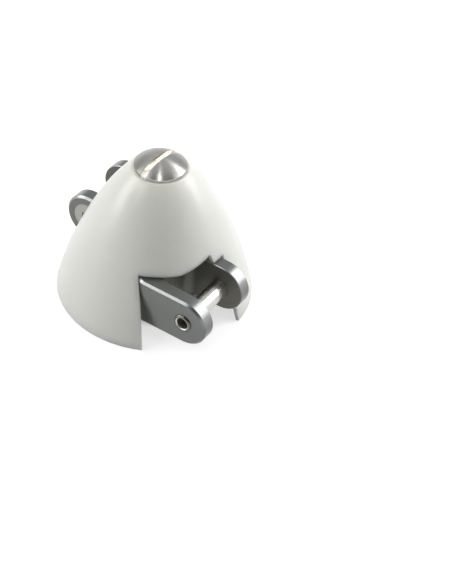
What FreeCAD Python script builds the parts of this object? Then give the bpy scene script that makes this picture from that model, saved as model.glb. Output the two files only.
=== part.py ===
import FreeCAD, Part
import math
import os
import Sketcher

# Propeller spinner for two folding blades, millimetres.
# The frame's origin is the middle of the shell's rear rim, +Z runs along the shaft to the nose
# and +X points along one blade arm. The second arm is the first one turned half round.

SIZES = [
    ("shell_radius", 20.0, "outer radius at the rear rim"),
    ("tip_radius", 5.6, "outer radius of the flat front end"),
    ("tip_height", 30.3, "height of the flat front end"),
    ("belly_draw", 1.09, "first pole of the outline, inward from the rim"),
    ("belly_height", 5.63, "first pole of the outline, height"),
    ("shoulder_radius", 14.07, "second pole of the outline, radius"),
    ("shoulder_height", 21.05, "second pole of the outline, height"),
    ("wall", 1.1, "shell thickness"),
    ("rim_round", 0.3, "rounding of the rear rim's outer edge"),
    ("tip_round", 0.6, "rounding of the flat front end's edge"),
    ("lip_relief", 0.35, "bevel inside the rear rim, radial"),
    ("lip_height", 2.2, "bevel inside the rear rim, height"),
    ("nose_web", 2.6, "depth of the moulded boss behind the nose screw"),
    ("side_gap", 0.15, "slot wall to the outer ear"),
    ("top_gap", 0.45, "slot top to the ears"),
    ("slot_corner", 0.3, "rounding in the slot's top corners"),
    ("splay_gap", 0.12, "splayed slot wall to the hub's flank"),
    ("splay_angle", 40.7, "splayed slot wall, degrees off the arm"),
    ("splay_reach", 6.25, "distance out where that wall passes the outer ear"),
    ("relief_width", 7.05, "blade relief above the slot"),
    ("relief_angle", 14.8, "rise of the blade relief"),
    ("relief_corner", 0.6, "rounding where that rise meets its upright step"),
    ("hub_height", 9.55, "height of the pin axis"),
    ("ear_radius", 5.05, "round end of each ear"),
    ("pin_inset", 3.33, "pin axis inside the rear rim, seen from behind"),
    ("arm_offset", 6.83, "middle of the blade gap, sideways"),
    ("blade_gap", 9.81, "distance between the two ears"),
    ("ear_thickness", 3.0, "thickness of one ear"),
    ("web_reach", 9.1, "bottom of the blade gap from the shaft axis"),
    ("gap_corner", 1.8, "corner radius at the bottom of the gap"),
    ("flank_round", 2.3, "rounding where the outer ear runs into the hub's flank"),
    ("ear_chamfer", 0.42, "chamfer round each ear's outer face and along the flanks"),
    ("gap_chamfer", 0.15, "edge break round each ear's inner face"),
    ("boss_radius", 9.0, "turned boss round the shaft"),
    ("boss_drop", 3.2, "boss below the arms"),
    ("pin_radius", 1.9, "shank of the blade pin"),
    ("pin_gap", 0.02, "pin to its hole"),
    ("head_radius", 3.15, "flat head of the blade pin"),
    ("head_land", 0.25, "straight edge of that head"),
    ("pin_proud", 0.3, "pin end beyond the ear"),
    ("pin_key", 2.5, "hexagon across flats in the pin's head"),
    ("key_depth", 2.0, "depth of that hexagon"),
    ("bore_radius", 1.25, "tapped bore in the pin's open end, drawn plain"),
    ("bore_mouth", 0.15, "countersink at the mouth of that bore"),
    ("bore_depth", 7.0, "depth of that bore"),
    ("shaft_radius", 2.5, "motor shaft"),
    ("shaft_depth", 12.6, "length of the bore that holds the shaft"),
    ("collet_tail", 0.4, "collet behind the boss"),
    ("collet_wide", 6.4, "wide end of the taper"),
    ("collet_narrow", 5.0, "narrow end of the taper"),
    ("taper_length", 10.2, "length of the taper"),
    ("taper_gap", 0.02, "collet to the tapered bore"),
    ("slit_width", 0.8, "slits that let the collet close"),
    ("slit_length", 9.6, "length of the slits"),
    ("stem_radius", 4.0, "threaded stem of the collet"),
    ("stem_gap", 0.25, "stem to the plain hole in the hub"),
    ("thread_gap", 0.05, "allowance in each screwed fit"),
    ("stem_rise", 2.8, "stem above the nut"),
    ("washer_radius", 7.2, "washer under the nut"),
    ("washer_height", 0.8, "thickness of the washer"),
    ("nut_flats", 13.0, "clamping nut across flats"),
    ("nut_height", 5.0, "height of the nut"),
    ("screw_radius", 2.0, "thread of the nose screw"),
    ("screw_reach", 6.0, "nose screw inside the collet"),
    ("screw_gap", 0.3, "nose screw to the hole in the shell"),
    ("tap_spare", 1.5, "tapped hole beyond the screw"),
    ("dome_height", 1.8, "rise of the nose screw's head"),
    ("dome_skirt", 0.55, "straight edge of that head"),
    ("dome_setback", 0.43, "edge of that head inside the shell's edge"),
    ("driver_width", 1.15, "screwdriver slot"),
    ("driver_depth", 1.1, "depth of the slot at the middle"),
    ("driver_angle", 85.0, "direction of the slot from the arm"),
]

doc = FreeCAD.newDocument("spinner")
sheet = doc.addObject("Spreadsheet::Sheet", "Sizes")
for row, (alias, number, note) in enumerate(SIZES, start=1):
    sheet.set(f"A{row}", note)
    sheet.set(f"B{row}", str(number))
    sheet.setAlias(f"B{row}", alias)
doc.recompute()

HALF = "(Sizes.blade_gap / 2 + Sizes.ear_thickness)"
PIN_REACH = "(Sizes.shell_radius - Sizes.pin_inset)"
OUTER_Y = f"(0 - Sizes.arm_offset - {HALF})"
INNER_Y = f"({HALF} - Sizes.arm_offset)"
GAP_LOW = "(0 - Sizes.arm_offset - Sizes.blade_gap / 2)"
GAP_HIGH = "(Sizes.blade_gap / 2 - Sizes.arm_offset)"
ARM_BOTTOM = "(Sizes.hub_height - Sizes.ear_radius)"
ARM_TOP = "(Sizes.hub_height + Sizes.ear_radius)"
SLOT_TOP = f"({ARM_TOP} + Sizes.top_gap)"
BOSS_BOTTOM = f"({ARM_BOTTOM} - Sizes.boss_drop)"
TAPER_TOP = f"({BOSS_BOTTOM} + Sizes.taper_length)"
NUT_BOTTOM = f"({ARM_TOP} + Sizes.washer_height)"
NUT_TOP = f"({NUT_BOTTOM} + Sizes.nut_height)"
STEM_TOP = f"({NUT_TOP} + Sizes.stem_rise)"


def amount(owner, text):
    return float(owner.evalExpression(text))


def new_body(name):
    body = doc.addObject("PartDesign::Body", name)
    body.Label = name
    return body


def new_sketch(body, name, role, lift=None):
    sketch = body.newObject("Sketcher::SketchObject", name)
    plane = [item for item in body.Origin.OriginFeatures if item.Role == role][0]
    sketch.AttachmentSupport = (plane, [""])
    sketch.MapMode = "FlatFace"
    if lift is not None:
        sketch.setExpression(".AttachmentOffset.Base.z", lift)
    doc.recompute()
    return sketch


def pin_point(sketch, shape, vertex, across, along):
    for kind, text in (("DistanceX", across), ("DistanceY", along)):
        index = sketch.addConstraint(
            Sketcher.Constraint(kind, -1, 1, shape, vertex, amount(sketch, text))
        )
        sketch.setExpression(f"Constraints[{index}]", text)


def closed_outline(sketch, corners):
    """Straight edges round a list of corners, each a pair of expressions."""
    points = [
        FreeCAD.Vector(amount(sketch, across), amount(sketch, along), 0) for across, along in corners
    ]
    count = len(points)
    edges = []
    for index in range(count):
        line = Part.LineSegment(points[index], points[(index + 1) % count])
        edges.append(sketch.addGeometry(line, False))
    for index in range(count):
        following = edges[(index + 1) % count]
        sketch.addConstraint(Sketcher.Constraint("Coincident", edges[index], 2, following, 1))
    for edge, (across, along) in zip(edges, corners):
        pin_point(sketch, edge, 1, across, along)
    return edges


def round_hole(sketch, radius, across="0", along="0"):
    centre = FreeCAD.Vector(amount(sketch, across), amount(sketch, along), 0)
    circle = Part.Circle(centre, FreeCAD.Vector(0, 0, 1), amount(sketch, radius))
    shape = sketch.addGeometry(circle, False)
    index = sketch.addConstraint(Sketcher.Constraint("Radius", shape, amount(sketch, radius)))
    sketch.setExpression(f"Constraints[{index}]", radius)
    pin_point(sketch, shape, 3, across, along)


def curved_outline(sketch, poles):
    """One smooth curve held by four poles, closed by straight edges to the axis."""
    points = [
        FreeCAD.Vector(amount(sketch, across), amount(sketch, along), 0) for across, along in poles
    ]
    curve = sketch.addGeometry(Part.BSplineCurve(points, None, None, False, 3, None, False), False)
    rings = []
    for point in points:
        rings.append(sketch.addGeometry(Part.Circle(point, FreeCAD.Vector(0, 0, 1), 1.0), True))
    for ring in rings:
        sketch.addConstraint(Sketcher.Constraint("Weight", ring, 1.0))
    for index, ring in enumerate(rings):
        sketch.addConstraint(
            Sketcher.Constraint("InternalAlignment:Sketcher::BSplineControlPoint", ring, 3, curve, index)
        )
    for ring, (across, along) in zip(rings, poles):
        pin_point(sketch, ring, 3, across, along)
    foot = FreeCAD.Vector(0, points[0].y, 0)
    head = FreeCAD.Vector(0, points[-1].y, 0)
    top = sketch.addGeometry(Part.LineSegment(points[-1], head), False)
    axis = sketch.addGeometry(Part.LineSegment(head, foot), False)
    base = sketch.addGeometry(Part.LineSegment(foot, points[0]), False)
    for first, second in ((curve, top), (top, axis), (axis, base), (base, curve)):
        sketch.addConstraint(Sketcher.Constraint("Coincident", first, 2, second, 1))
    sketch.addConstraint(Sketcher.Constraint("Horizontal", top))
    sketch.addConstraint(Sketcher.Constraint("Horizontal", base))
    sketch.addConstraint(Sketcher.Constraint("PointOnObject", axis, 1, -2))
    sketch.addConstraint(Sketcher.Constraint("PointOnObject", axis, 2, -2))


def hexagon(sketch, flats, across="0", along="0"):
    corners = []
    for step in range(6):
        turn = 30 + 60 * step
        out = f"{flats} / 2 / cos(30)"
        corners.append((f"{across} + {out} * cos({turn})", f"{along} + {out} * sin({turn})"))
    closed_outline(sketch, corners)


def turned(body, sketch, name, cut=False, line="V_Axis"):
    kind = "PartDesign::Groove" if cut else "PartDesign::Revolution"
    feature = body.newObject(kind, name)
    feature.Profile = sketch
    feature.ReferenceAxis = (sketch, [line])
    feature.Angle = 360
    check_change(body, feature, cut)
    return feature


def pushed(body, sketch, name, length, cut=False, back=False):
    kind = "PartDesign::Pocket" if cut else "PartDesign::Pad"
    feature = body.newObject(kind, name)
    feature.Profile = sketch
    feature.setExpression("Length", length)
    feature.Reversed = back
    check_change(body, feature, cut)
    return feature


def check_change(body, feature, cut):
    """A cut has to take material away, and anything else has to add some."""
    before = feature.BaseFeature.Shape.Volume if feature.BaseFeature else 0.0
    doc.recompute()
    after = feature.Shape.Volume
    if (cut and after > before - 1e-6) or (not cut and after < before + 1e-6):
        raise RuntimeError(f"{body.Name}.{feature.Name} changed nothing")


def turned_copies(body, name, originals, count):
    pattern = body.newObject("PartDesign::PolarPattern", name)
    pattern.Originals = originals
    axis = [item for item in body.Origin.OriginFeatures if item.Role == "Z_Axis"][0]
    pattern.Axis = (axis, [""])
    pattern.Angle = 360
    pattern.Occurrences = count
    before = body.Tip.Shape.Volume
    body.Tip = pattern
    doc.recompute()
    if abs(pattern.Shape.Volume - before) < 1e-6:
        raise RuntimeError(f"{body.Name}.{name} changed nothing")
    return pattern


def dressed(body, name, kind, size, chosen):
    if not chosen:
        raise RuntimeError(f"{body.Name}.{name} found no edge")
    carrier = body.Tip
    feature = body.newObject(f"PartDesign::{kind}", name)
    feature.Base = (carrier, chosen)
    feature.setExpression("Radius" if kind == "Fillet" else "Size", size)
    body.Tip = feature
    doc.recompute()
    return feature


def edges_where(feature, test):
    return [
        f"Edge{index}" for index, edge in enumerate(feature.Shape.Edges, start=1) if test(edge)
    ]


def shell_body():
    # Moulded shell: one smooth outline turned round the shaft, hollow and open at the rear.
    body = new_body("spinner_cone")
    sketch = new_sketch(body, "cone_outline", "XZ_Plane")
    curved_outline(sketch, [
        ("Sizes.shell_radius", "0"),
        ("Sizes.shell_radius - Sizes.belly_draw", "Sizes.belly_height"),
        ("Sizes.shoulder_radius", "Sizes.shoulder_height"),
        ("Sizes.tip_radius", "Sizes.tip_height"),
    ])
    outside = turned(body, sketch, "cone_outside")

    rim = amount(sheet, "Sizes.shell_radius")
    found = edges_where(
        outside,
        lambda edge: abs(edge.BoundBox.ZMax) < 1e-4 and abs(edge.BoundBox.XMax - rim) < 1e-3,
    )
    dressed(body, "rim_rounding", "Fillet", "Sizes.rim_round", found)
    front = amount(sheet, "Sizes.tip_height")
    found = edges_where(body.Tip, lambda edge: abs(edge.BoundBox.ZMin - front) < 1e-4)
    dressed(body, "tip_rounding", "Fillet", "Sizes.tip_round", found)

    # The inside follows the outline at the wall's thickness, square to the curve's two ends.
    sketch = new_sketch(body, "cone_hollow_line", "XZ_Plane")
    rise = "(Sizes.tip_height - Sizes.shoulder_height)"
    run = "(Sizes.shoulder_radius - Sizes.tip_radius)"
    slant = f"sqrt({rise} ^ 2 + {run} ^ 2)"
    inward = f"Sizes.wall * {rise} / {slant}"
    downward = f"Sizes.wall * {run} / {slant}"
    curved_outline(sketch, [
        ("Sizes.shell_radius - Sizes.wall", "0"),
        ("Sizes.shell_radius - Sizes.belly_draw - Sizes.wall", "Sizes.belly_height"),
        (f"Sizes.shoulder_radius - {inward}", f"Sizes.shoulder_height - {downward}"),
        (f"Sizes.tip_radius - {inward}", f"Sizes.tip_height - {downward}"),
    ])
    turned(body, sketch, "cone_hollow", cut=True)

    # Thick boss behind the flat front end, where the nose screw pulls.
    sketch = new_sketch(body, "nose_boss_line", "XZ_Plane")
    edge = "(Sizes.tip_radius - Sizes.wall * 0.5)"
    closed_outline(sketch, [
        ("0", "Sizes.tip_height"),
        ("0", "Sizes.tip_height - Sizes.nose_web"),
        (f"{edge} + Sizes.nose_web * 0.72 * {run} / {rise}", "Sizes.tip_height - Sizes.nose_web"),
        (edge, "Sizes.tip_height"),
    ])
    turned(body, sketch, "nose_boss")
    sketch = new_sketch(body, "nose_hole_line", "XY_Plane", "Sizes.tip_height")
    round_hole(sketch, "Sizes.screw_radius + Sizes.screw_gap")
    pushed(body, sketch, "nose_hole", "Sizes.nose_web + Sizes.wall", cut=True)

    # Bevel inside the rear rim.
    sketch = new_sketch(body, "lip_line", "XZ_Plane")
    inner = "(Sizes.shell_radius - Sizes.wall)"
    closed_outline(sketch, [
        (f"{inner} - 1.5", "0"),
        (f"{inner} + Sizes.lip_relief", "0"),
        (f"{inner} - Sizes.belly_draw * Sizes.lip_height / Sizes.belly_height", "Sizes.lip_height"),
        (f"{inner} - 1.5", "Sizes.lip_height"),
    ])
    turned(body, sketch, "lip_bevel", cut=True)

    # Slot from the rear rim: one wall runs beside the inner ear, the other is splayed.
    sketch = new_sketch(body, "slot_line", "XY_Plane")
    inboard = "(Sizes.splay_reach + Sizes.wall)"
    outboard = "(Sizes.shell_radius * 0.8)"
    slope = "tan(Sizes.splay_angle)"
    far = "(Sizes.shell_radius * 1.4)"
    closed_outline(sketch, [
        (f"Sizes.splay_reach - {inboard}", f"{OUTER_Y} + {inboard} * {slope}"),
        (f"Sizes.splay_reach + {outboard}", f"{OUTER_Y} - {outboard} * {slope}"),
        (far, f"{OUTER_Y} - {outboard} * {slope}"),
        (far, f"{INNER_Y} + Sizes.side_gap"),
        (f"Sizes.splay_reach - {inboard}", f"{INNER_Y} + Sizes.side_gap"),
    ])
    slot = pushed(body, sketch, "arm_slot", SLOT_TOP, cut=True, back=True)

    # Sawtooth relief over the gap, where the root of a pitched blade swings past.
    sketch = new_sketch(body, "relief_line", "YZ_Plane")
    start = f"({GAP_HIGH} - Sizes.relief_width)"
    closed_outline(sketch, [
        (start, f"{SLOT_TOP} - 1"),
        (GAP_HIGH, f"{SLOT_TOP} - 1"),
        (GAP_HIGH, f"{SLOT_TOP} + Sizes.relief_width * tan(Sizes.relief_angle)"),
        (start, SLOT_TOP),
    ])
    relief = pushed(body, sketch, "blade_relief", far, cut=True, back=True)
    turned_copies(body, "second_slot", [slot, relief], 2)

    # Corners of the slots: small ones at the top of each wall, a wider one at the relief's step.
    top = amount(sheet, SLOT_TOP)
    lean = math.tan(math.radians(amount(sheet, "Sizes.splay_angle")))
    straight_wall = amount(sheet, f"{INNER_Y} + Sizes.side_gap")
    step = amount(sheet, GAP_HIGH)
    peak = amount(sheet, f"{SLOT_TOP} + Sizes.relief_width * tan(Sizes.relief_angle)")

    def level(edge, height):
        return abs(edge.BoundBox.ZMin - height) < 1e-4 and abs(edge.BoundBox.ZMax - height) < 1e-4

    def beside(edge, place):
        side = 1 if edge.BoundBox.Center.x > 0 else -1
        return edge.BoundBox.YLength < 1e-4 and abs(edge.BoundBox.Center.y - side * place) < 1e-4

    def splayed(edge):
        return len(edge.Vertexes) == 2 and edge.Curve.TypeId == "Part::GeomLine" and (
            abs(edge.BoundBox.YLength - lean * edge.BoundBox.XLength) < 1e-4
        )

    found = edges_where(body.Tip, lambda edge: level(edge, peak) and beside(edge, step))
    dressed(body, "relief_corners", "Fillet", "Sizes.relief_corner", found)
    found = edges_where(
        body.Tip,
        lambda edge: level(edge, top) and (beside(edge, straight_wall) or splayed(edge)),
    )
    dressed(body, "slot_corners", "Fillet", "Sizes.slot_corner", found)
    return body


def hub_body():
    # Machined hub: two forked arms, set off to opposite sides, on a turned boss.
    body = new_body("hub_yoke")
    sketch = new_sketch(body, "arm_plan", "XY_Plane", ARM_BOTTOM)
    slope = "tan(Sizes.splay_angle)"
    start = "(Sizes.splay_reach + Sizes.splay_gap / sin(Sizes.splay_angle))"
    inside = f"({start} + Sizes.ear_thickness / 2)"
    closed_outline(sketch, [
        (f"{start} - {inside}", f"{OUTER_Y} + {inside} * {slope}"),
        (start, OUTER_Y),
        (PIN_REACH, OUTER_Y),
        (PIN_REACH, INNER_Y),
        (f"{start} - {inside}", INNER_Y),
    ])
    arm = pushed(body, sketch, "arm", "2 * Sizes.ear_radius")

    sketch = new_sketch(body, "ear_round", "XZ_Plane", f"0 - {INNER_Y}")
    round_hole(sketch, "Sizes.ear_radius", PIN_REACH, "Sizes.hub_height")
    ends = pushed(body, sketch, "ear_ends", f"2 * {HALF}")
    turned_copies(body, "second_arm", [arm, ends], 2)

    sketch = new_sketch(body, "boss_plan", "XY_Plane", BOSS_BOTTOM)
    round_hole(sketch, "Sizes.boss_radius")
    pushed(body, sketch, "boss", "2 * Sizes.ear_radius + Sizes.boss_drop")

    sketch = new_sketch(body, "gap_plan", "XY_Plane", ARM_TOP)
    closed_outline(sketch, [
        ("Sizes.web_reach", GAP_LOW),
        (f"{PIN_REACH} + Sizes.ear_radius + 1", GAP_LOW),
        (f"{PIN_REACH} + Sizes.ear_radius + 1", GAP_HIGH),
        ("Sizes.web_reach", GAP_HIGH),
    ])
    gap = pushed(body, sketch, "gap", "2 * Sizes.ear_radius", cut=True)
    turned_copies(body, "second_gap", [gap], 2)

    # Corners of the milled gaps.
    web = amount(sheet, "Sizes.web_reach")
    height = amount(sheet, "2 * Sizes.ear_radius")
    found = edges_where(
        body.Tip,
        lambda edge: len(edge.Vertexes) == 2
        and abs(abs(edge.BoundBox.Center.x) - web) < 1e-4
        and abs(edge.BoundBox.XLength) < 1e-4
        and abs(edge.BoundBox.YLength) < 1e-4
        and abs(edge.BoundBox.ZLength - height) < 1e-4,
    )
    dressed(body, "gap_corners", "Fillet", "Sizes.gap_corner", found)

    # Rounding where each outer ear runs into the hub's slanting flank.
    outer = amount(sheet, OUTER_Y)
    found = edges_where(
        body.Tip,
        lambda edge: len(edge.Vertexes) == 2
        and edge.BoundBox.XLength < 1e-4
        and edge.BoundBox.YLength < 1e-4
        and abs(edge.BoundBox.ZLength - height) < 1e-4
        and any(abs(edge.BoundBox.Center.y - side * outer) < 1e-4 for side in (1, -1))
        and abs(edge.BoundBox.Center.x) < web,
    )
    dressed(body, "flank_rounding", "Fillet", "Sizes.flank_round", found)

    # Chamfer round each ear's outer face and along the flanks, and a fine edge break round its
    # inner face.
    reach = amount(sheet, "Sizes.web_reach + Sizes.gap_corner")
    ends = (amount(sheet, ARM_BOTTOM), amount(sheet, ARM_TOP))
    lean = math.tan(math.radians(amount(sheet, "Sizes.splay_angle")))
    for name, size, places in (
        ("face_chamfers", "Sizes.ear_chamfer", (OUTER_Y, INNER_Y)),
        ("gap_chamfers", "Sizes.gap_chamfer", (GAP_LOW, GAP_HIGH)),
    ):
        faces_at = [amount(sheet, place) for place in places]

        def on_ear(edge):
            box = edge.BoundBox
            if box.YLength > 1e-4 or box.XLength < 1e-3:
                return False
            side = 1 if box.Center.x > 0 else -1
            return any(abs(box.Center.y - side * place) < 1e-4 for place in faces_at) and (
                max(abs(box.XMin), abs(box.XMax)) > reach
            )

        def on_flank(edge):
            box = edge.BoundBox
            return (
                name == "face_chamfers"
                and len(edge.Vertexes) == 2
                and edge.Curve.TypeId == "Part::GeomLine"
                and box.ZLength < 1e-4
                and any(abs(box.ZMin - end) < 1e-4 for end in ends)
                and box.XLength > 1
                and abs(box.YLength - lean * box.XLength) < 1e-4
            )

        found = edges_where(body.Tip, lambda edge: on_ear(edge) or on_flank(edge))
        dressed(body, name, "Chamfer", size, found)

    # Tapered bore for the collet, with a plain hole for its stem above.
    sketch = new_sketch(body, "bore_line", "XZ_Plane")
    closed_outline(sketch, [
        ("0", BOSS_BOTTOM),
        ("Sizes.collet_wide + Sizes.taper_gap", BOSS_BOTTOM),
        ("Sizes.collet_narrow + Sizes.taper_gap", f"{TAPER_TOP} + Sizes.stem_gap"),
        ("Sizes.stem_radius + Sizes.stem_gap", f"{TAPER_TOP} + Sizes.stem_gap"),
        ("Sizes.stem_radius + Sizes.stem_gap", ARM_TOP),
        ("0", ARM_TOP),
    ])
    turned(body, sketch, "bore", cut=True)

    # Pin hole across both ears, sunk for the flat head on the side near the shaft.
    sketch = new_sketch(body, "pin_hole_line", "XY_Plane", "Sizes.hub_height")
    axis = PIN_REACH
    hole = "(Sizes.pin_radius + Sizes.pin_gap)"
    sink = "(Sizes.head_radius + Sizes.pin_gap)"
    edges = closed_outline(sketch, [
        (axis, OUTER_Y),
        (f"{axis} + {hole}", OUTER_Y),
        (f"{axis} + {hole}", f"{INNER_Y} - Sizes.head_land - Sizes.head_radius + Sizes.pin_radius"),
        (f"{axis} + {sink}", f"{INNER_Y} - Sizes.head_land"),
        (f"{axis} + {sink}", INNER_Y),
        (axis, INNER_Y),
    ])
    middle = sketch.addGeometry(
        Part.LineSegment(FreeCAD.Vector(amount(sketch, axis), -30, 0),
                         FreeCAD.Vector(amount(sketch, axis), 30, 0)), True)
    sketch.addConstraint(Sketcher.Constraint("Vertical", middle))
    sketch.addConstraint(Sketcher.Constraint("PointOnObject", edges[0], 1, middle))
    hole_cut = turned(body, sketch, "pin_hole", cut=True, line="Axis0")
    turned_copies(body, "second_pin_hole", [hole_cut], 2)
    return body


def pin_body(name, side):
    # Polished pin, turned: flat sunk head with a hexagon, and a bored open end that stands
    # just proud of the ear.
    body = new_body(name)
    sketch = new_sketch(body, name + "_line", "XY_Plane")
    length = f"(2 * {HALF} + Sizes.pin_proud)"
    closed_outline(sketch, [
        ("0", "0"),
        ("0", f"Sizes.bore_depth - {length} + Sizes.bore_radius * 0.6"),
        ("Sizes.bore_radius", f"Sizes.bore_depth - {length}"),
        ("Sizes.bore_radius", f"Sizes.bore_mouth - {length}"),
        ("Sizes.bore_radius + Sizes.bore_mouth", f"0 - {length}"),
        ("Sizes.pin_radius - 0.15", f"0 - {length}"),
        ("Sizes.pin_radius", f"0.15 - {length}"),
        ("Sizes.pin_radius", "Sizes.pin_radius - Sizes.head_radius - Sizes.head_land"),
        ("Sizes.head_radius", "0 - Sizes.head_land"),
        ("Sizes.head_radius", "0"),
    ])
    turned(body, sketch, name + "_turned")
    sketch = new_sketch(body, name + "_head_key", "XZ_Plane")
    hexagon(sketch, "Sizes.pin_key")
    pushed(body, sketch, name + "_head_socket", "Sizes.key_depth", cut=True, back=True)
    body.Placement = FreeCAD.Placement(
        FreeCAD.Vector(0, 0, 0), FreeCAD.Rotation(FreeCAD.Vector(0, 0, 1), 0 if side > 0 else 180)
    )
    body.setExpression(".Placement.Base.x", f"{side} * {PIN_REACH}")
    body.setExpression(".Placement.Base.y", f"{side} * {INNER_Y}")
    body.setExpression(".Placement.Base.z", "Sizes.hub_height")
    return body


def collet_body():
    # Split taper that grips the motor shaft, with a threaded stem tapped for the nose screw.
    body = new_body("taper_collet")
    sketch = new_sketch(body, "collet_line", "XZ_Plane")
    tail = f"({BOSS_BOTTOM} - Sizes.collet_tail)"
    screw_end = f"({STEM_TOP} - Sizes.screw_reach - Sizes.tap_spare)"
    tapped = "(Sizes.screw_radius + Sizes.thread_gap)"
    closed_outline(sketch, [
        ("Sizes.shaft_radius", tail),
        ("Sizes.collet_wide", tail),
        ("Sizes.collet_wide", BOSS_BOTTOM),
        ("Sizes.collet_narrow", TAPER_TOP),
        ("Sizes.stem_radius", TAPER_TOP),
        ("Sizes.stem_radius", f"{STEM_TOP} - 0.4"),
        ("Sizes.stem_radius - 0.4", STEM_TOP),
        (tapped, STEM_TOP),
        (tapped, screw_end),
        ("0", screw_end),
        ("0", f"{tail} + Sizes.shaft_depth"),
        ("Sizes.shaft_radius", f"{tail} + Sizes.shaft_depth"),
    ])
    turned(body, sketch, "collet_turned")
    sketch = new_sketch(body, "slit_plan", "XY_Plane", tail)
    closed_outline(sketch, [
        ("0", "0 - Sizes.slit_width / 2"),
        ("Sizes.collet_wide + 1", "0 - Sizes.slit_width / 2"),
        ("Sizes.collet_wide + 1", "Sizes.slit_width / 2"),
        ("0", "Sizes.slit_width / 2"),
    ])
    slit = pushed(body, sketch, "slit", "Sizes.slit_length", cut=True, back=True)
    turned_copies(body, "slits", [slit], 3)
    return body


def washer_body():
    # Plain washer between the hub and the nut.
    body = new_body("clamp_washer")
    sketch = new_sketch(body, "washer_plan", "XY_Plane", ARM_TOP)
    round_hole(sketch, "Sizes.washer_radius")
    round_hole(sketch, "Sizes.stem_radius + Sizes.stem_gap")
    pushed(body, sketch, "washer", "Sizes.washer_height")
    return body


def nut_body():
    # Hexagon nut with its top corners turned off, which draws the collet into the hub.
    body = new_body("clamp_nut")
    sketch = new_sketch(body, "nut_plan", "XY_Plane", NUT_BOTTOM)
    hexagon(sketch, "Sizes.nut_flats")
    round_hole(sketch, "Sizes.stem_radius + Sizes.thread_gap")
    pushed(body, sketch, "nut", "Sizes.nut_height")
    sketch = new_sketch(body, "nut_corner_line", "XZ_Plane")
    corner = "(Sizes.nut_flats / 2 / cos(30))"
    closed_outline(sketch, [
        (f"{corner} + 0.2", NUT_TOP),
        ("Sizes.nut_flats / 2", NUT_TOP),
        (f"{corner} + 0.2", f"{NUT_TOP} - ({corner} + 0.2 - Sizes.nut_flats / 2) * 0.58"),
    ])
    turned(body, sketch, "nut_corners", cut=True)
    return body


def nose_body():
    # Nose screw turned in one piece: domed, slotted head that carries on the shell's outline.
    body = new_body("nose_screw")
    sketch = new_sketch(body, "nose_line", "XZ_Plane")
    edge = "(Sizes.tip_radius - Sizes.dome_setback)"
    shoulder = "(Sizes.tip_height + Sizes.dome_skirt)"
    end = f"({STEM_TOP} - Sizes.screw_reach)"
    wide = amount(sketch, edge)
    rise = amount(sketch, "Sizes.dome_height")
    radius = (wide ** 2 + rise ** 2) / (2 * rise)
    centre = FreeCAD.Vector(0, amount(sketch, shoulder) + rise - radius, 0)
    circle = Part.Circle(centre, FreeCAD.Vector(0, 0, 1), radius)
    start = math.acos(wide / radius)
    dome = sketch.addGeometry(Part.ArcOfCircle(circle, start, math.pi / 2), False)
    corners = [
        ("0", f"{shoulder} + Sizes.dome_height"),
        ("0", end),
        ("Sizes.screw_radius - 0.3", end),
        ("Sizes.screw_radius", f"{end} + 0.3"),
        ("Sizes.screw_radius", "Sizes.tip_height"),
        (edge, "Sizes.tip_height"),
        (edge, shoulder),
    ]
    points = [FreeCAD.Vector(amount(sketch, a), amount(sketch, b), 0) for a, b in corners]
    lines = [
        sketch.addGeometry(Part.LineSegment(first, second), False)
        for first, second in zip(points, points[1:])
    ]
    for first, second in zip(lines, lines[1:]):
        sketch.addConstraint(Sketcher.Constraint("Coincident", first, 2, second, 1))
    for line, (across, along) in zip(lines, corners):
        pin_point(sketch, line, 1, across, along)
    pin_point(sketch, lines[-1], 2, *corners[-1])
    sketch.addConstraint(Sketcher.Constraint("PointOnObject", dome, 3, -2))
    sketch.addConstraint(Sketcher.Constraint("Coincident", dome, 1, lines[-1], 2))
    sketch.addConstraint(Sketcher.Constraint("Coincident", dome, 2, lines[0], 1))
    turned(body, sketch, "nose_turned")

    # Straight screwdriver slot across the dome.
    sketch = new_sketch(body, "driver_plan", "XY_Plane", f"{shoulder} + Sizes.dome_height")
    long_way = "(Sizes.tip_radius + 1)"
    half = "(Sizes.driver_width / 2)"
    turn = "Sizes.driver_angle"
    corners = []
    for ahead, beside in ((1, -1), (1, 1), (-1, 1), (-1, -1)):
        across = f"{ahead} * {long_way} * cos({turn}) - {beside} * {half} * sin({turn})"
        along = f"{ahead} * {long_way} * sin({turn}) + {beside} * {half} * cos({turn})"
        corners.append((across, along))
    closed_outline(sketch, corners)
    pushed(body, sketch, "driver_slot", "Sizes.driver_depth", cut=True)
    return body


pieces = [
    shell_body(),
    nose_body(),
    hub_body(),
    pin_body("blade_pin_right", 1),
    pin_body("blade_pin_left", -1),
    collet_body(),
    washer_body(),
    nut_body(),
]
doc.recompute()

for item in doc.Objects:
    if "Invalid" in item.State or "Error" in item.State:
        raise RuntimeError(f"{item.Label} failed: {item.State}")
for piece in pieces:
    if piece.Shape.isNull() or not piece.Shape.isValid() or len(piece.Shape.Solids) != 1:
        raise RuntimeError(f"{piece.Label} is not one valid solid")

os.makedirs("parts", exist_ok=True)
for piece in pieces:
    piece.Shape.exportStep(f"parts/{piece.Label}.step")
    box = piece.Shape.BoundBox
    print(f"{piece.Label}: {piece.Shape.Volume:.1f} mm3, z {box.ZMin:.2f} to {box.ZMax:.2f}")
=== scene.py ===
import math

import bmesh
import bpy
from mathutils import Matrix, Vector


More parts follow.
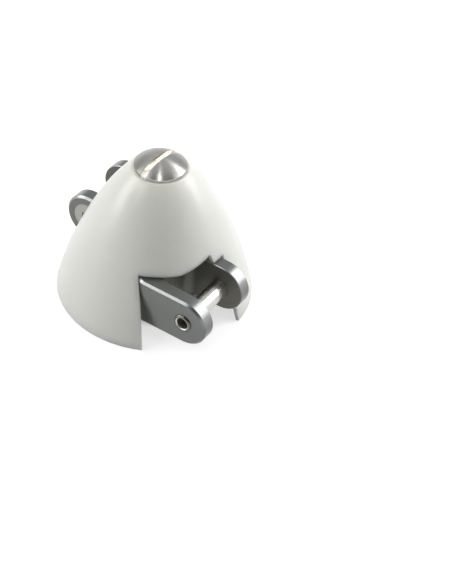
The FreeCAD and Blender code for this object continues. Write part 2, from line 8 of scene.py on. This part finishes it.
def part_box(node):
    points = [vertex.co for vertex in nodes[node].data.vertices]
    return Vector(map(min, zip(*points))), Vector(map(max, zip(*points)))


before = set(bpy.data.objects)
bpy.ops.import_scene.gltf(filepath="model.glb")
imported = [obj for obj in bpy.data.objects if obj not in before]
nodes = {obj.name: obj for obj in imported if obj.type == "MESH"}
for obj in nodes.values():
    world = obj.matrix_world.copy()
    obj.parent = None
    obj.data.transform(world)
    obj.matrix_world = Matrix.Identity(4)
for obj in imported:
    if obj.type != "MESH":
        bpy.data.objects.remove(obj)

scene = bpy.context.scene
scene.view_settings.view_transform = "Standard"
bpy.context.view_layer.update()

# Camera. The photograph looks down on the spinner from the front right, with the nose up
# and one forked arm towards the lens. Its frame is 452 by 584 pixels.
FRAME_WIDE = 452
FRAME_HIGH = 584
FOCAL = 1600.0
LOOK_DOWN = math.radians(42.141)
LOOK_ROUND = math.radians(30.179)
ROLL = math.radians(5.234)
AIM = Vector((0.0, 0.0, 0.015))
AIM_ACROSS = 157.531
AIM_DOWN = 227.352
DISTANCE = 0.3181

back = Vector((
    math.sin(LOOK_ROUND) * math.cos(LOOK_DOWN),
    -math.cos(LOOK_ROUND) * math.cos(LOOK_DOWN),
    math.sin(LOOK_DOWN),
))
level = Vector((math.cos(LOOK_ROUND), math.sin(LOOK_ROUND), 0.0))
upright = back.cross(level)
right = level * math.cos(ROLL) + upright * math.sin(ROLL)
up = upright * math.cos(ROLL) - level * math.sin(ROLL)
sight = Vector((
    (AIM_ACROSS - FRAME_WIDE / 2) / FOCAL,
    -(AIM_DOWN - FRAME_HIGH / 2) / FOCAL,
    -1.0,
)).normalized()
stand = AIM - DISTANCE * (sight.x * right + sight.y * up + sight.z * back)

lens = bpy.data.cameras.new("lens")
lens.sensor_width = 36.0
lens.lens = FOCAL / FRAME_HIGH * lens.sensor_width
lens.clip_start = 0.01
lens.clip_end = 20.0
camera = bpy.data.objects.new("camera", lens)
scene.collection.objects.link(camera)
turn = Matrix((right, up, back)).transposed().to_4x4()
camera.matrix_world = Matrix.Translation(stand) @ turn
scene.camera = camera


# Moulded shell. The real one is a thin white moulding, painted smooth outside and left
# as it came from the mould inside and on the cut walls of its slots.
PAINT = (0.79, 0.785, 0.70)
PAINT_COOL = (0.77, 0.77, 0.695)
RAW_RESIN = (0.92, 0.89, 0.77)
PAINT_DRIFT = 55.0
PAINT_HANDLED = 160.0
PAINT_ROUGH = (0.31, 0.35)
RESIN_ROUGH = 0.58
MOULD_RIPPLE, RIPPLE_DEEP = 420.0, 0.00004
SPRAY_GRAIN, SPRAY_DEEP = 3200.0, 0.00001
LIGHT_GOES_IN = 0.0030


def new_finish(name):
    """An empty material, with its node tree and its shader."""
    material = bpy.data.materials.new(name)
    material.use_nodes = True
    tree = material.node_tree
    return material, tree, tree.nodes["Principled BSDF"]


def add(tree, kind, **options):
    node = tree.nodes.new("ShaderNode" + kind)
    for option, value in options.items():
        setattr(node, option, value)
    return node


def feed(tree, socket, value):
    """Joins a socket to another node, or sets it to a plain number or vector."""
    if isinstance(value, bpy.types.NodeSocket):
        tree.links.new(value, socket)
    else:
        socket.default_value = value


def vector_step(tree, operation, *terms):
    step = add(tree, "VectorMath", operation=operation)
    for socket, term in zip(step.inputs, terms):
        feed(tree, socket, term)
    return step.outputs["Value" if operation in ("DOT_PRODUCT", "LENGTH") else "Vector"]


def place_on(tree, centre=(0.0, 0.0, 0.0), scale=(1.0, 1.0, 1.0)):
    """Object coordinates in metres, centred on a point of the piece."""
    where = add(tree, "TexCoord")
    mapping = add(tree, "Mapping", vector_type="POINT")
    mapping.inputs["Scale"].default_value = scale
    mapping.inputs["Location"].default_value = [-c * s for c, s in zip(centre, scale)]
    tree.links.new(where.outputs["Object"], mapping.inputs["Vector"])
    return mapping.outputs["Vector"]


def grain(tree, place, scale, detail=3.0, roughness=0.5):
    noise = add(tree, "TexNoise")
    noise.inputs["Scale"].default_value = scale
    noise.inputs["Detail"].default_value = detail
    noise.inputs["Roughness"].default_value = roughness
    tree.links.new(place, noise.inputs["Vector"])
    return noise.outputs["Fac"]


def between(tree, factor, low, high, start=0.0, end=1.0):
    """A value that runs from low to high as the factor runs from start to end."""
    ranged = add(tree, "MapRange")
    ranged.inputs["From Min"].default_value = start
    ranged.inputs["From Max"].default_value = end
    ranged.inputs["To Min"].default_value = low
    ranged.inputs["To Max"].default_value = high
    tree.links.new(factor, ranged.inputs["Value"])
    return ranged.outputs["Result"]


def blended(tree, factor, first, second):
    """A colour that goes from the first to the second as the factor goes from 0 to 1."""
    mix = add(tree, "Mix", data_type="RGBA")
    for index, colour in ((6, first), (7, second)):
        fixed = not isinstance(colour, bpy.types.NodeSocket)
        feed(tree, mix.inputs[index], (*colour, 1.0) if fixed else colour)
    tree.links.new(factor, mix.inputs[0])
    return mix.outputs[2]


def faded(tree, factor, first, last):
    """A number that goes from the first to the last as the factor goes from 0 to 1."""
    mix = add(tree, "Mix", data_type="FLOAT")
    for index, value in ((0, factor), (2, first), (3, last)):
        feed(tree, mix.inputs[index], value)
    return mix.outputs[0]


def bumped(tree, height, distance, strength, onto=None):
    bump = add(tree, "Bump")
    bump.inputs["Strength"].default_value = strength
    bump.inputs["Distance"].default_value = distance
    tree.links.new(height, bump.inputs["Height"])
    if onto is not None:
        tree.links.new(onto, bump.inputs["Normal"])
    return bump.outputs["Normal"]


def wear(piece, material):
    for slot in piece.material_slots:
        slot.material = material


shell_paint, tree, shader = new_finish("shell_paint")
place = place_on(tree)
outward = vector_step(tree, "NORMALIZE", vector_step(tree, "MULTIPLY", place, (1.0, 1.0, 0.0)))
leaning = vector_step(tree, "ADD", outward, (0.0, 0.0, 1.0))
facing = add(tree, "NewGeometry").outputs["True Normal"]
agree = vector_step(tree, "DOT_PRODUCT", leaning, facing)
painted = between(tree, agree, 0.0, 1.0, 0.2, 0.4)
drift = between(tree, grain(tree, place, PAINT_DRIFT), 0.0, 1.0, 0.35, 0.65)
paint = blended(tree, drift, PAINT, PAINT_COOL)
tree.links.new(blended(tree, painted, RAW_RESIN, paint), shader.inputs["Base Color"])
handled = between(tree, grain(tree, place, PAINT_HANDLED), *PAINT_ROUGH, 0.3, 0.7)
tree.links.new(faded(tree, painted, RESIN_ROUGH, handled), shader.inputs["Roughness"])
ripple = bumped(tree, grain(tree, place, MOULD_RIPPLE, 2.0), RIPPLE_DEEP, 0.35)
spray = bumped(tree, grain(tree, place, SPRAY_GRAIN, 2.0), SPRAY_DEEP, 0.3, ripple)
tree.links.new(spray, shader.inputs["Normal"])
shader.inputs["IOR"].default_value = 1.5
shader.inputs["Coat Weight"].default_value = 0.2
shader.inputs["Coat Roughness"].default_value = 0.15
shader.inputs["Subsurface Weight"].default_value = 1.0
shader.inputs["Subsurface Radius"].default_value = (1.0, 0.965, 0.86)
shader.inputs["Subsurface Scale"].default_value = LIGHT_GOES_IN
wear(nodes["spinner_cone"], shell_paint)


# Hub. The real one is milled from a solid aluminium block and anodised grey, so its flats are
# satin with a faint milling direction. Faces that tip upwards, the edge chamfers and the
# rounded ends of its ears, get a painted highlight, and its flat tops a little of it. The
# faces of the blade gap are rougher, and take a warmer grey of their own, painted for the
# shade in the gap.
ANODISED = (0.150, 0.157, 0.152)
ANODISED_WORN = (0.176, 0.183, 0.174)
# A painted highlight colour, for faces that tip upwards.
ANODISED_PAINTED_HIGHLIGHT = (0.27, 0.28, 0.275)
# A warmer grey painted for the shade inside the blade gap.
GAP_SHADE_TONE = (0.155, 0.153, 0.136)
HUB_ROUGH = (0.28, 0.32)
GAP_ROUGH = 0.6
MILLED_LINES, MILLED_STRETCH = 5200.0, 0.06
HUB_SPECKLE = 2600.0
HUB_CLOUD = 190.0
HUB_BUMP = 0.0000006
ARM_OFFSET = 0.00683
GAP_HALF, GAP_BLEND = 0.00492, 0.00003


def part_of(tree, vector, axis):
    split = add(tree, "SeparateXYZ")
    tree.links.new(vector, split.inputs["Vector"])
    return split.outputs[axis]


def worked_out(tree, operation, *terms):
    step = add(tree, "Math", operation=operation)
    for socket, term in zip(step.inputs, terms):
        feed(tree, socket, term)
    return step.outputs[0]


hub_grey, tree, shader = new_finish("hub_grey")
place = place_on(tree)
along = place_on(tree, scale=(MILLED_STRETCH, 1.0, 1.0))
milled = grain(tree, along, MILLED_LINES, 3.0, 0.6)
speckle = grain(tree, place, HUB_SPECKLE, 2.0)
cloud = between(tree, grain(tree, place, HUB_CLOUD), 0.0, 0.55, 0.35, 0.75)
which_arm = worked_out(tree, "SIGN", part_of(tree, place, "X"))
off_gap = worked_out(tree, "MULTIPLY_ADD", which_arm, part_of(tree, place, "Y"), ARM_OFFSET)
off_gap = worked_out(tree, "ABSOLUTE", off_gap)
in_gap = between(tree, off_gap, 1.0, 0.0, GAP_HALF, GAP_HALF + GAP_BLEND)
# Painted highlight: most on faces tipped partly up, chamfers and ear ends; a little on flat
# tops.
rise = part_of(tree, add(tree, "NewGeometry").outputs["Normal"], "Z")
above_sides = between(tree, rise, 0.0, 1.0, 0.1, 0.5)
below_tops = between(tree, rise, 1.0, 0.22, 0.92, 0.995)
painted_highlight = worked_out(tree, "MULTIPLY", above_sides, below_tops)
anodised = blended(tree, cloud, ANODISED, ANODISED_WORN)
anodised = blended(tree, painted_highlight, anodised, ANODISED_PAINTED_HIGHLIGHT)
# Painted shade: the faces inside the blade gap take their own warmer grey.
tree.links.new(blended(tree, in_gap, anodised, GAP_SHADE_TONE), shader.inputs["Base Color"])
sheen = between(tree, milled, *HUB_ROUGH, 0.3, 0.7)
tree.links.new(faded(tree, in_gap, sheen, GAP_ROUGH), shader.inputs["Roughness"])
fine = bumped(tree, speckle, HUB_BUMP, 0.3)
tree.links.new(bumped(tree, milled, HUB_BUMP, 0.3, fine), shader.inputs["Normal"])
shader.inputs["Metallic"].default_value = 0.88
wear(nodes["hub_yoke"], hub_grey)


# Blade pins. Each is turned from steel and ground bright where the blade swings on it, with a
# flat matt head at one end and a tapped bore inside a narrow ring at the other. The walls of
# the bore and of the recess in the head take a darker, browner tone as painted shade.
STEEL_BRIGHT = (0.62, 0.61, 0.585)
STEEL_RING = (0.13, 0.125, 0.112)
STEEL_HEAD = (0.38, 0.37, 0.33)
# A darker, browner tone painted as shade on the walls inside the bore radius.
BORE_SHADE_TONE = (0.55, 0.54, 0.47)
PIN_ROUGH = (0.26, 0.29)
HEAD_ROUGH, RING_ROUGH, BORE_ROUGH = 0.45, 0.26, 0.4
GRINDING, GRINDING_BUMP = 2600.0, 0.0000003
HEAD_LONG = 0.0013
RING_LONG = 0.0003
PIN_BORE = 0.00146
FINISH_BLEND = 0.0001


def pin_finish(name, node, open_end, inward):
    """A pin's finish by the distance in from its open end and from its own axis."""
    low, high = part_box(node)
    length = high.y - low.y
    material, tree, shader = new_finish(name)
    centre = ((low.x + high.x) / 2, open_end, (low.z + high.z) / 2)
    place = place_on(tree, centre, (1.0, inward, 1.0))
    depth = part_of(tree, place, "Y")
    radius = vector_step(tree, "LENGTH", vector_step(tree, "MULTIPLY", place, (1.0, 0.0, 1.0)))
    head_from = length - HEAD_LONG
    head = between(tree, depth, 0.0, 1.0, head_from, head_from + FINISH_BLEND)
    ring = between(tree, depth, 1.0, 0.0, RING_LONG, RING_LONG + FINISH_BLEND)
    # Painted shade: walls inside the bore radius, short of the head face, take the darker
    # tone.
    within = between(tree, radius, 1.0, 0.0, PIN_BORE - 0.00002, PIN_BORE + 0.00002)
    off_head = between(tree, depth, 1.0, 0.0, length - 0.0001, length - 0.00005)
    bore = worked_out(tree, "MULTIPLY", within, off_head)
    ground = grain(tree, place_on(tree, centre, (1.0, 0.15, 1.0)), GRINDING, 2.0)
    steel = blended(tree, ground, STEEL_BRIGHT, [c * 0.9 for c in STEEL_BRIGHT])
    steel = blended(tree, ring, blended(tree, head, steel, STEEL_HEAD), STEEL_RING)
    tree.links.new(blended(tree, bore, steel, BORE_SHADE_TONE), shader.inputs["Base Color"])
    rough = between(tree, ground, *PIN_ROUGH, 0.3, 0.7)
    for mask, value in ((head, HEAD_ROUGH), (ring, RING_ROUGH), (bore, BORE_ROUGH)):
        rough = faded(tree, mask, rough, value)
    tree.links.new(rough, shader.inputs["Roughness"])
    tree.links.new(bumped(tree, ground, GRINDING_BUMP, 0.3), shader.inputs["Normal"])
    shader.inputs["Metallic"].default_value = 1.0
    return material


near_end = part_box("blade_pin_right")[0].y
far_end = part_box("blade_pin_left")[1].y
near_steel = pin_finish("pin_steel_right", "blade_pin_right", near_end, 1.0)
far_steel = pin_finish("pin_steel_left", "blade_pin_left", far_end, -1.0)
wear(nodes["blade_pin_right"], near_steel)
wear(nodes["blade_pin_left"], far_steel)


# Taper collet, washer and nut. These are turned steel, drawn together inside the shell,
# with fine rings from the lathe tool.
STEEL_DULL = (0.52, 0.515, 0.50)
STEEL_PLATED = (0.62, 0.615, 0.59)
SMEARED_SHARE = 0.86
SMEAR = 400.0
LATHE_BUMP = 0.00001


def turned_steel(name, colour, dull, ring_scale):
    material, tree, shader = new_finish(name)
    place = place_on(tree)
    rings = add(tree, "TexWave", wave_type="RINGS", rings_direction="Z")
    rings.inputs["Scale"].default_value = ring_scale
    rings.inputs["Distortion"].default_value = 1.5
    rings.inputs["Detail"].default_value = 2.0
    tree.links.new(place, rings.inputs["Vector"])
    rings = rings.outputs["Fac"]
    smear = between(tree, grain(tree, place, SMEAR), 0.0, 1.0, 0.3, 0.7)
    smeared = blended(tree, smear, colour, [c * SMEARED_SHARE for c in colour])
    tree.links.new(smeared, shader.inputs["Base Color"])
    rough = between(tree, rings, dull - 0.05, dull + 0.06)
    tree.links.new(rough, shader.inputs["Roughness"])
    tree.links.new(bumped(tree, rings, LATHE_BUMP, 0.25), shader.inputs["Normal"])
    shader.inputs["Metallic"].default_value = 1.0
    return material


wear(nodes["taper_collet"], turned_steel("collet_steel", STEEL_DULL, 0.34, 900.0))
wear(nodes["clamp_washer"], turned_steel("washer_steel", STEEL_PLATED, 0.30, 700.0))
wear(nodes["clamp_nut"], turned_steel("nut_steel", STEEL_PLATED, 0.28, 700.0))


# Nose screw. Its domed head is turned bright from aluminium, so the fine tool rings spread
# each reflection into a fan, and the straight slot sawn across it shows cream in its bed. Its
# steep walls are coloured dark brown as painted shade.
NOSE_METAL = (0.48, 0.471, 0.45)
NOSE_DARKER = 0.88
NOSE_SLOT = (0.86, 0.82, 0.72)
# Dark brown painted as shade on the slot's steep walls.
NOSE_SLOT_WALL_SHADE = (0.34, 0.27, 0.19)
NOSE_ROUGH = (0.27, 0.35)
TOOL_RINGS, TOOL_BUMP = 9000.0, 0.000004
SLOT_HALF = 0.0006
SLOT_BED = 0.00045
SLOT_BLEND = 0.00002
SLOT_TURN = math.radians(85.0)

nose_bright, tree, shader = new_finish("nose_bright")
place = place_on(tree)
flat = vector_step(tree, "MULTIPLY", place, (1.0, 1.0, 0.0))
rings = add(tree, "TexNoise", noise_dimensions="1D")
rings.inputs["Scale"].default_value = TOOL_RINGS
rings.inputs["Detail"].default_value = 2.0
tree.links.new(vector_step(tree, "LENGTH", flat), rings.inputs["W"])
rings = rings.outputs["Fac"]
tree.links.new(vector_step(tree, "NORMALIZE", flat), shader.inputs["Tangent"])
tree.links.new(between(tree, rings, *NOSE_ROUGH, 0.3, 0.7), shader.inputs["Roughness"])
tree.links.new(bumped(tree, rings, TOOL_BUMP, 0.25), shader.inputs["Normal"])
shade = between(tree, rings, 0.0, 1.0, 0.2, 0.8)
turned = blended(tree, shade, NOSE_METAL, [c * NOSE_DARKER for c in NOSE_METAL])

slot_side = (math.sin(SLOT_TURN), -math.cos(SLOT_TURN), 0.0)
off_line = worked_out(tree, "ABSOLUTE", vector_step(tree, "DOT_PRODUCT", place, slot_side))
in_line = between(tree, off_line, 1.0, 0.0, SLOT_HALF, SLOT_HALF + SLOT_BLEND)
bed_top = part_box("nose_screw")[1].z - SLOT_BED
low_down = between(tree, part_of(tree, place, "Z"), 1.0, 0.0, bed_top, bed_top + SLOT_BLEND)
steep = part_of(tree, add(tree, "NewGeometry").outputs["True Normal"], "Z")
steep = between(tree, steep, 1.0, 0.0, 0.1, 0.2)
# Painted shade: steep faces in the slot take the dark brown.
wall = worked_out(tree, "MULTIPLY", in_line, steep)
bed = worked_out(tree, "MULTIPLY", in_line, low_down)
turned = blended(tree, wall, turned, NOSE_SLOT_WALL_SHADE)
tree.links.new(blended(tree, bed, turned, NOSE_SLOT), shader.inputs["Base Color"])
shader.inputs["Metallic"].default_value = 1.0
shader.inputs["Anisotropic"].default_value = 0.8
wear(nodes["nose_screw"], nose_bright)


# Floor. A plain white table that runs out past the view. It keeps the soft shadow, its white
# lift is taken down under the closed shell as a painted shade there, and it stays white far
# away from the lamps.
FLOOR_WHITE = (0.50, 0.50, 0.50)
FLOOR_ROUGH = 0.9
FLOOR_LIFT = 0.66
FLOOR_LIFT_IN_PAINTED_SHADE = 0.08
FLOOR_LIFT_FAR = 0.34
SHADE_ENDS = (0.010, 0.013)
FAR_OFF = (0.08, 0.5)
FLOOR_HALF = 3.0
FLOOR_DROP = 0.00002

flat_mesh = bmesh.new()
bmesh.ops.create_grid(flat_mesh, x_segments=1, y_segments=1, size=FLOOR_HALF)
floor_mesh = bpy.data.meshes.new("floor")
flat_mesh.to_mesh(floor_mesh)
flat_mesh.free()
floor = bpy.data.objects.new("floor", floor_mesh)
floor.location.z = -FLOOR_DROP
scene.collection.objects.link(floor)


def seen_directly(tree):
    """1 for what the camera sees, also mirrored in metal or through glass, and 0 for light."""
    path = add(tree, "LightPath").outputs
    seen = worked_out(tree, "MAXIMUM", path["Is Camera Ray"], path["Is Glossy Ray"])
    return worked_out(tree, "MAXIMUM", seen, path["Is Transmission Ray"])


table_white, tree, shader = new_finish("table_white")
shader.inputs["Base Color"].default_value = (*FLOOR_WHITE, 1.0)
shader.inputs["Roughness"].default_value = FLOOR_ROUGH
shader.inputs["Specular IOR Level"].default_value = 0.0
away = vector_step(tree, "LENGTH", place_on(tree))
# Painted shade: the white lift drops near the middle, under the closed shell.
near_white = between(tree, away, FLOOR_LIFT_IN_PAINTED_SHADE, FLOOR_LIFT, *SHADE_ENDS)
far_white = between(tree, away, 0.0, FLOOR_LIFT_FAR, *FAR_OFF)
white = worked_out(tree, "ADD", near_white, far_white)
lift = worked_out(tree, "MULTIPLY", seen_directly(tree), white)
shader.inputs["Emission Color"].default_value = (1.0, 1.0, 1.0, 1.0)
tree.links.new(lift, shader.inputs["Emission Strength"])
floor_mesh.materials.append(table_white)


# Backdrop and light. A dim studio with white low down at both sides, two soft lamps one above
# the other on the left and on the right, one behind on the right and a narrow strip overhead.
HORIZON_WHITE = 1.0
HORIZON_ENDS = (0.19, 0.27)
WALL_BEHIND = 0.38
WALL_IN_FRONT = 0.12
SIDE_GLOW = 1.15
SIDE_GLOW_ENDS = (0.16, 0.34)
CEILING = 0.38
CEILING_TINT = (0.95, 1.0, 0.99)
LAMP_OFF = 0.6

world = bpy.data.worlds.new("white_room")
world.use_nodes = True
tree = world.node_tree
room = tree.nodes["Background"]
way = add(tree, "TexCoord").outputs["Generated"]
height = part_of(tree, way, "Z")
behind = Vector((-back.x, -back.y, 0.0)).normalized()
towards_lens = vector_step(tree, "DOT_PRODUCT", way, -behind)
wall = between(tree, towards_lens, WALL_BEHIND, WALL_IN_FRONT, -0.3, 0.6)
sideways = worked_out(tree, "ABSOLUTE", vector_step(tree, "DOT_PRODUCT", way, level))
at_sides = between(tree, sideways, 0.0, SIDE_GLOW, 0.6, 0.95)
glow = worked_out(tree, "MULTIPLY", at_sides, between(tree, height, 1.0, 0.0, *SIDE_GLOW_ENDS))
high_behind = behind * 0.47 + Vector((0.0, 0.0, 0.88))
overhead = vector_step(tree, "DOT_PRODUCT", way, high_behind)
overhead = between(tree, overhead, 0.0, CEILING, 0.68, 0.85)
lit = worked_out(tree, "ADD", worked_out(tree, "ADD", wall, glow), overhead)
low_sky = between(tree, height, 1.0, 0.0, *HORIZON_ENDS)
skyline = worked_out(tree, "MULTIPLY", seen_directly(tree), low_sky)
tree.links.new(faded(tree, skyline, lit, HORIZON_WHITE), room.inputs["Strength"])
room_tint = blended(tree, overhead, (1.0, 1.0, 1.0), CEILING_TINT)
tree.links.new(room_tint, room.inputs["Color"])
scene.world = world


def soft_lamp(name, azimuth, elevation, wide, high, lean, watts):
    """A rectangular lamp aimed at the object. Azimuth, in degrees, turns from the camera."""
    light = bpy.data.lights.new(name, "AREA")
    light.shape = "RECTANGLE"
    light.size = wide
    light.size_y = high
    light.energy = watts
    lamp = bpy.data.objects.new(name, light)
    round_to = LOOK_ROUND + math.radians(azimuth)
    tip = math.radians(elevation)
    out = Vector((math.sin(round_to), -math.cos(round_to), 0.0)) * math.cos(tip)
    out.z = math.sin(tip)
    facing = out.to_track_quat("Z", "Y").to_matrix().to_4x4()
    leant = Matrix.Rotation(math.radians(lean), 4, "Z")
    lamp.matrix_world = Matrix.Translation(AIM + out * LAMP_OFF) @ facing @ leant
    scene.collection.objects.link(lamp)


soft_lamp("lamp_left_low", -90.0, 20.0, 0.26, 0.26, 0.0, 1.1)
soft_lamp("lamp_left_high", -62.0, 41.0, 0.26, 0.26, 0.0, 0.72)
soft_lamp("lamp_right_low", 112.0, 18.0, 0.28, 0.22, 0.0, 1.05)
soft_lamp("lamp_right_high", 88.0, 38.0, 0.26, 0.26, 0.0, 0.55)
soft_lamp("lamp_behind", 118.0, 39.0, 0.24, 0.14, 40.0, 0.75)
soft_lamp("lamp_top", 0.0, 70.0, 0.036, 0.22, 0.0, 0.40)
